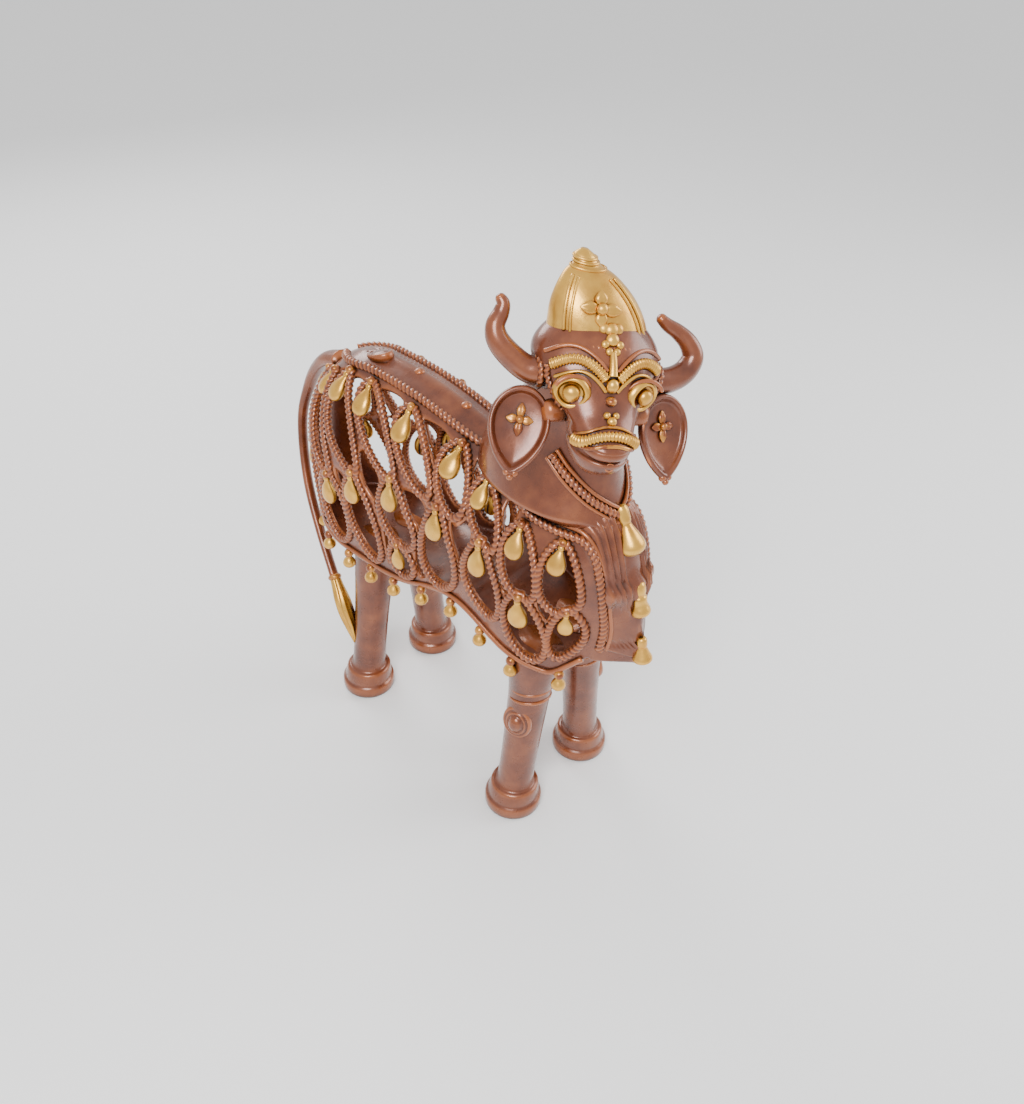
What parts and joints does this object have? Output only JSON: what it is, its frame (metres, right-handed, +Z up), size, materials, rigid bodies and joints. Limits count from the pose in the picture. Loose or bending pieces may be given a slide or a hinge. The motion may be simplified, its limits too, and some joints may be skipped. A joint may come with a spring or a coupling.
{
  "type": "cow figure",
  "caption": "Standing cast cow figure: hollow openwork body hung with bells, head turned aside with horns, leaf ears and a mitre crown, column legs on tiered hooves.",
  "frame": {"origin": "on the floor, under the middle of the box round the whole figure", "axes": "+Z up, the cow faces -Y with its right flank towards -X, and its head is turned to its right"},
  "size_m": [0.0868, 0.2336, 0.2801],
  "materials": {
    "casting": "reddish-brown gloss lacquer with polished gold accents on the bells, brows, eyes and crown"
  },
  "bodies": {
    "root": {"cow_figure": "casting"}
  },
  "joints": []
}
